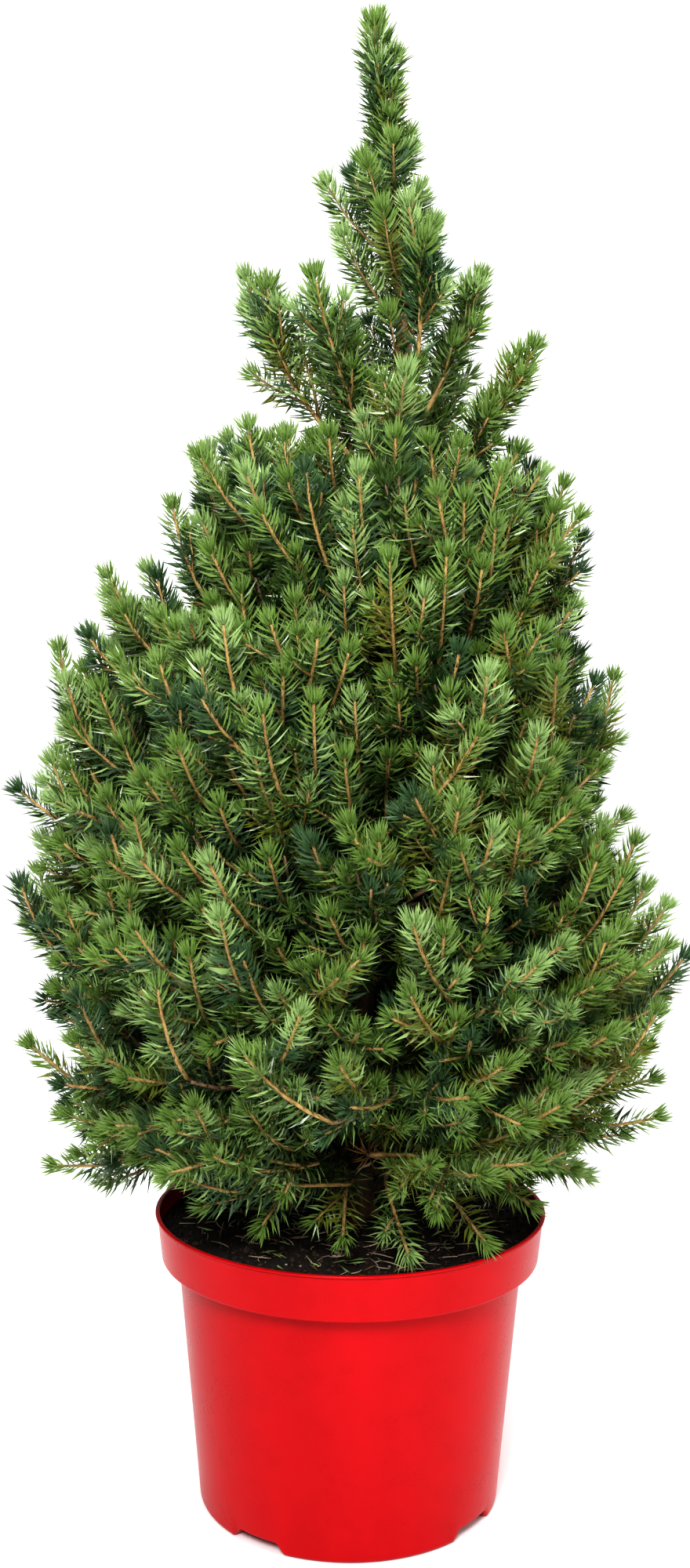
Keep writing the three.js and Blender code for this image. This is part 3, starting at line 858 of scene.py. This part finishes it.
# a few low shoots hang over the soil and the rim or reach out beside them
# direction in degrees: reach and height of the tip, rise of the shoot in degrees, length
drooping = {
    -73: (94 * mm, 0.164, -29, 44 * mm),
    -93: (84 * mm, 0.170, -29, 44 * mm),
    -51: (104 * mm, 0.167, -29, 44 * mm),
    -122: (84 * mm, 0.171, -29, 44 * mm),
    -30: (104 * mm, 0.176, -25, 44 * mm),
    62: (84 * mm, 0.170, -29, 44 * mm),
    118: (88 * mm, 0.168, -29, 44 * mm),
    172: (159 * mm, 0.199, 14, 76 * mm),
    186: (156 * mm, 0.183, 4, 72 * mm),
    177: (128 * mm, 0.168, -18, 50 * mm),
    -9: (158 * mm, 0.213, 16, 74 * mm),
    9: (148 * mm, 0.190, 6, 66 * mm),
    1: (124 * mm, 0.174, -14, 50 * mm),
}


def growDrooping(routes):
    for turn, (reach, height, rise, length) in drooping.items():
        level = np.array([math.cos(math.radians(turn)), math.sin(math.radians(turn)), 0])
        way = unit(level + math.tan(math.radians(rise)) * up)
        tip = trunkAt(height)[0] + level * reach
        foot, flat = addShoot(tip, way, length, 0.4, 1)
        joinToLimb(nearestRoute(routes, foot), foot, flat)


# shoots behind the outer ones, in their shade, and those that stand free above the top tier
def growInside(tree, routes):
    total = foliage["innerShoots"] + foliage["topShoots"]
    for k in range(total):
        free = k >= foliage["innerShoots"]
        turn = rng.uniform(-math.pi, math.pi)
        heart = not free and k % 6 == 0  # low and close to the trunk
        lowest, highest = foliage["heartHeights"] if heart else (underside(turn) + 0.012, 0.55)
        height = rng.uniform(0.45, 0.56) if free else rng.uniform(lowest, highest)
        reach = crownReach(tree, turn, min(height, 0.57))  # the tiers end just above this height
        depth = 0.55 if heart else 0.86 * np.interp(height, [0.2, 0.3], [0.62, 1])
        share = rng.uniform(0.25, 0.82) if free else rng.uniform(0.3, 1) ** 0.5 * depth
        axis, _ = trunkAt(height)
        spot = axis + max(reach, 0.07) * share * np.array([math.cos(turn), math.sin(turn), 0])
        rise = min(riseAt(height) + rng.normal(0, foliage["riseSpread"]), foliage["steepest"])
        way = unit(math.cos(rise) * outwardsAt(spot) + math.sin(rise) * up + rng.normal(0, 0.1, 3))
        length = rng.uniform(*foliage["innerLength"]) * mm
        # the shoots behind the outer ones take the darkest greens as painted shade
        foot, flat = addShoot(spot, way, length, 0.0 if free else 1.0, 2)
        joinToLimb(nearestRoute(routes, foot), foot, flat)


# ---------- the open spire: plumes and the leader
spire = {
    "plumeDrop": 30 * mm,
    "plumeNeedles": 2.5,
    "plumeSides": 12,
    "plumeSideLength": (24 * mm, 40 * mm),
    "plumeSideAngle": (24, 46),
    "plumeTuft": 40,
    "fullness": {
        "foliage_left_tall": 1.15,
        "foliage_right_tall": 0.55,
        "foliage_right_outer": 0.7,
        "foliage_second_leader": 0.65,
    },
    "whorls": {  # height on the leader: length of its shoots
        0.560: 34 * mm,
        0.592: 36 * mm,
        0.622: 54 * mm,
        0.645: 60 * mm,
        0.668: 42 * mm,
        0.692: 31 * mm,
    },
    "rightShortening": 0.6,
    "whorlShoots": 5,
    "shifts": {
        "foliage_second_leader": (-21 * mm, 0, 15 * mm),
        "foliage_left_inner": (-14 * mm, 0, 16 * mm),
    },
    "leaderFoot": 0.615,
    "leaderTop": 2.5 * mm,
    "leaderNeedles": 4.2,
    "leaderTufts": 10,
    "leaderTipTuft": 60,
    "leaderColours": (("midGreen", "oliveGreen"), ("midGreen", "freshGreen"), ("midGreen", "freshGreen")),
}


# a plume follows its mass from a fork on the trunk to the mass's tip
def plumeRoute(name):
    points = nodePoints(name)
    top, bottom = points[:, 2].max(), points[:, 2].min()
    tip = points[points[:, 2] > top - 0.1 * (top - bottom)].mean(0)
    tip[2] = top - foliage["tipInset"]
    tip += spire["shifts"].get(name, (0, 0, 0))
    low = points[points[:, 2] < np.quantile(points[:, 2], 0.3)].mean(0)
    fork, radius = trunkAt(bottom - spire["plumeDrop"])
    outwards = unit((low - fork) * (1, 1, 0))
    return fork + outwards * radius * 0.5, low + outwards * 6 * mm, tip


def growPlume(name):
    route = plumeRoute(name)
    length = np.linalg.norm(np.diff(bezier(*route, np.linspace(0, 1, 12)), axis=0), axis=1).sum()
    colours = ("midGreen", "freshGreen") if rng.uniform() < 0.6 else ("blueGreen", "paleGreen")
    start = 0.3
    count = int(length * (1 - start) / mm * spire["plumeNeedles"])
    addNeedles(route, count, foliage["needleLength"] * 1.08, *colours, spire["plumeTuft"], start, 0.95)
    addTwig(route, 1.7 * mm, 0.7 * mm, "young", 12, 6)
    for group in range(3):
        span = (0.35 + 0.17 * group, 0.52 + 0.17 * group)
        colours = pickColours(route[2], 0.0)
        full = spire["fullness"].get(name, 0.9)
        size, angles = tuple(s * full for s in spire["plumeSideLength"]), spire["plumeSideAngle"]
        addSideShoots(route, spire["plumeSides"] // 3, span, colours, size, 1.15, angles)


def growLeader():
    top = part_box("trunk")[1][2] - spire["leaderTop"]
    marks = np.linspace(spire["leaderFoot"], top, 7)
    points, _ = trunkAt(marks)
    for a in (0, 2, 4):
        middle = 2 * points[a + 1] - (points[a] + points[a + 2]) / 2
        route = (points[a], middle, points[a + 2])
        last = a == 4
        count = int((marks[2] - marks[0]) / mm * spire["leaderNeedles"] * (1 if a else 0.6))
        colours = spire["leaderColours"][a // 2]
        tuft = spire["leaderTipTuft"] if last else 0
        addNeedles(route, count, foliage["needleLength"] * 1.2, *colours, tuft, 0.0, 0.98, 52)
    for k in range(spire["leaderTufts"]):
        height = 0.698 + 0.005 * k
        addUpright(height, 2.4 * k, rng.uniform(14, 19) * mm, 20)
    for height, length in spire["whorls"].items():
        for k in range(spire["whorlShoots"]):
            turn = (k + rng.uniform(-0.3, 0.3)) * 2 * math.pi / spire["whorlShoots"] + height * 50
            share = rng.uniform(0.75, 1.15) * (1 - spire["rightShortening"] * max(math.cos(turn), 0))
            addUpright(height + rng.uniform(-8, 8) * mm, turn, length * share, 44)


# a shoot that leaves the upright leader and bends up beside it
def addUpright(height, turn, length, lean):
    base, _ = trunkAt(height)
    outwards = np.array([math.cos(turn), math.sin(turn), 0])
    lean = math.radians(lean + rng.uniform(-5, 5))
    middle = base + (outwards * math.sin(lean * 1.25) + up * math.cos(lean * 1.25)) * length * 0.5
    end = middle + (outwards * math.sin(lean * 0.6) + up * math.cos(lean * 0.6)) * length * 0.5
    count = int(length / mm * foliage["needlesPerMm"] * 1.6)
    colours = pickColours(end, 0.0)
    addNeedles((base, middle, end), count, foliage["needleLength"], *colours, foliage["uprightTuft"], 0.06)
    addTwig((base, middle, end), 0.8 * mm, 0.5 * mm, "young", 4, 4)


# ---------- needle and twig meshes
# each needle is a keeled blade of four faces, bent a little towards its shoot's tip
def needleMesh(name, rows):
    foot, way, curve = rows[:, 0:3], rows[:, 3:6], rows[:, 6:9]
    length, bend = rows[:, 9:10], rows[:, 10:11]
    curve = unit(curve - (curve * way).sum(1, keepdims=True) * way)
    side = np.cross(way, curve)
    half = foliage["needleWidth"] / 2 * (0.85 + 0.3 * rng.uniform(size=(len(rows), 1)))
    roll = rng.uniform(-0.9, 0.9, (len(rows), 1))
    side = np.cos(roll) * side + np.sin(roll) * curve
    belly = foot + way * length * 0.45 - curve * (length * bend * 0.25 + 0.25 * mm)
    tip = foot + way * length + curve * length * bend * 0.5
    points = np.stack([foot, belly + side * half, belly - side * half, tip], axis=1).reshape(-1, 3)
    one = np.array([[0, 1, 2], [3, 2, 1], [0, 3, 1], [0, 2, 3]])
    corners = (np.arange(len(rows))[:, None, None] * 4 + one).reshape(-1, 3)
    return meshFromArrays(name, points, corners, False)


def makeNeedlePieces(masses):
    mostNeedles = 48000
    total = 0
    for colour, batches in needleStore.items():
        rows = np.concatenate([b for b in batches if len(b)])
        finish = Finish(colour + "Needles", Base_Color=needleColours[colour], Roughness=0.3)
        finish.drive(Specular_IOR_Level=0.5)
        for k, part in enumerate(np.array_split(rows, math.ceil(len(rows) / mostNeedles))):
            name = f"needles_{colour}_{k + 1}"
            newPiece(name, needleMesh(name, part), finish, masses if total == 0 else ())
            total += len(part)
        print("needles", colour, len(rows))
    print("needles in all", total)


twigColours = {  # light and dark bark of each kind
    "young": ((0.46, 0.31, 0.12), (0.25, 0.145, 0.05)),
    "old": ((0.26, 0.17, 0.09), (0.11, 0.07, 0.04)),
}


def makeTwigPieces():
    for kind, tubes in twigStore.items():
        verts, faces = joinTubes(tubes)
        finish = Finish(kind + "Twig", Roughness=0.7)
        patches = finish.cloud(240, 3, 0.6)
        light, dark = twigColours[kind]
        finish.drive(Base_Color=finish.blend(patches.between(0.35, 0.65), (*dark, 1), (*light, 1)))
        finish.relief(finish.cloud(900, 2, 0.6), 0.0003)
        newPiece("twigs_" + kind, meshFromArrays("twigs_" + kind, verts, faces), finish)
        print("twigs", kind, len(tubes), len(faces))


def makeLimbs(routes):
    top = trunkTable[-1, 0]
    heights = np.concatenate([np.linspace(trunkTable[0, 0] - 1 * mm, 0.21, 26), np.linspace(0.214, top, 90)])
    points, radii = trunkAt(heights)
    sides = limb["trunkSides"]
    verts, faces = tube(points, radii, sides)
    rings = verts[: len(points) * sides]
    middle = np.repeat(points, sides, axis=0)
    outward = unit(rings - middle)
    reach = np.repeat(radii, sides)
    flare = limb["flare"] * np.exp(-(rings[:, 2] - rings[0, 2]) / (10 * mm))
    angle = np.arctan2(outward[:, 1], outward[:, 0])
    ridge = flare * np.cos(5 * angle)
    scales = np.array([noise.noise(Vector((p[0] * 320, p[1] * 320, p[2] * 110))) for p in rings])
    plates = np.array([abs(noise.noise(Vector((p[0] * 150, p[1] * 150, p[2] * 60)))) for p in rings])
    relief = ridge + np.minimum(0.9 * mm / reach, 0.16) * (scales + plates)
    verts[: len(rings)] = middle + outward * (reach * (1 + relief))[:, None]
    tubes = [(verts, faces)]
    for start, elbow, centre in routes:
        t = np.linspace(0, 1, 22)
        way = bezier(start, elbow, centre, t)
        wobble = np.array([noise.noise(Vector(p * 60)) for p in way])
        thick = limb["boughRadius"] + (limb["boughEnd"] - limb["boughRadius"]) * t
        tubes.append(tube(way, thick * (1 + limb["boughWobble"] * wobble), limb["boughSides"]))
    verts, faces = joinTubes(tubes)
    bark = Finish("spruceBark", Roughness=0.85, Specular_IOR_Level=0.3)
    flakes = bark.cloud(150, 5, 0.65, (1, 1, 0.3))
    specks = bark.cloud(700, 3, 0.6)
    tone = (flakes * 0.65 + specks * 0.35).between(0.34, 0.66)
    old = bark.blend(tone, *limb["oldBark"])
    young = bark.blend(tone, *limb["youngBark"])
    height = bark.add("ShaderNodeSeparateXYZ", out=2, Vector=bark.place())
    bark.drive(Base_Color=bark.blend(height.between(*limb["barkChange"]), old, young))
    bark.drive(Roughness=specks * 0.2 + 0.72)
    bark.relief(flakes * 0.7 + specks * 0.3, 0.0012)
    replaced = ["trunk"] + [name for name in nodes if name.startswith("bough")]
    newPiece("trunk_and_boughs", meshFromArrays("trunk_and_boughs", verts, faces), bark, replaced)
    print("limbs", len(faces))


makeStudio()
makePot()
print("pot ready")
makeSoil()
print("soil ready")
trunkTable = trunkRings()
masses = [name for name in nodes if name.startswith("foliage")]
tierWords = ("skirt", "low", "middle", "upper", "shoulder")
tiers = [name for name in masses if any(word in name for word in tierWords)]
plumes = [name for name in masses if name not in tiers and "leader_" not in name]
tree = crownTree(tiers)
routes = [boughRoute(name) for name in tiers]
growTiers(tree, routes)
growInside(tree, routes)
growDrooping(routes)
for name in plumes:
    growPlume(name)
growLeader()
makeNeedlePieces(masses)
makeTwigPieces()
makeLimbs(routes)
bpy.context.view_layer.update()
